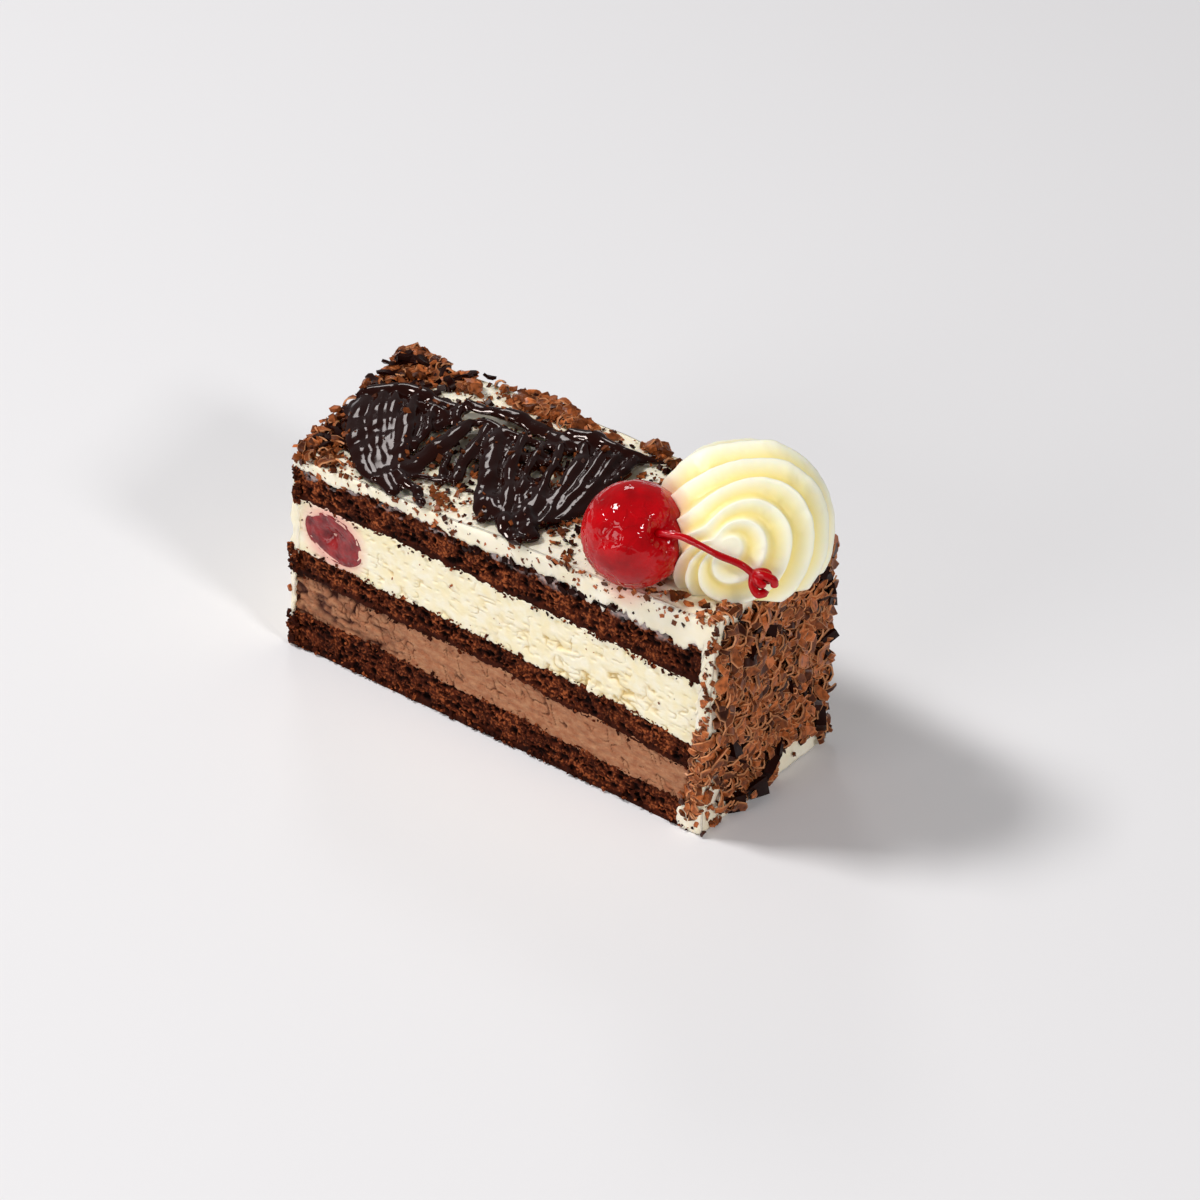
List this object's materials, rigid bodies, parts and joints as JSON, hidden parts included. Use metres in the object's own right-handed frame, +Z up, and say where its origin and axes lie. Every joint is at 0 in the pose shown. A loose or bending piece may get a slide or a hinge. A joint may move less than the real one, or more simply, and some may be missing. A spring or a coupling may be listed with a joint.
{
  "type": "black forest cake slice",
  "caption": "Oblong layered cake slice with chocolate sponges, cream and mousse fillings, iced top and ends, chocolate shavings and lace, a piped rosette and a candied cherry.",
  "frame": {"origin": "middle of the flat underside of the bottom sponge, on the surface that the slice stands on", "axes": "+X along the slice to the end that carries the rosette, +Z up, -Y out of the cut face that shows the cherry piece"},
  "size_m": [0.1397, 0.0616, 0.0795],
  "materials": {
    "sponge": "open dark crumb, dull",
    "mousse": "whipped chocolate, dull, dragged by the knife",
    "cream": "set cream, satin",
    "cherry_flesh": "wet cut fruit",
    "icing": "smooth icing with milk chocolate chips, satin",
    "dark_chocolate": "set dark chocolate, glossy",
    "piped_cream": "piped butter cream, soft satin",
    "candied_cherry": "syrup-glazed, very glossy"
  },
  "bodies": {
    "root": {"sponge_bottom": "sponge", "mousse_layer": "mousse", "sponge_middle": "sponge", "cream_layer": "cream", "cherry_in_cream": "cherry_flesh", "sponge_top": "sponge", "icing_coat": "icing", "chocolate_lace": "dark_chocolate", "cream_rosette": "piped_cream", "cherry": "candied_cherry"}
  },
  "joints": []
}
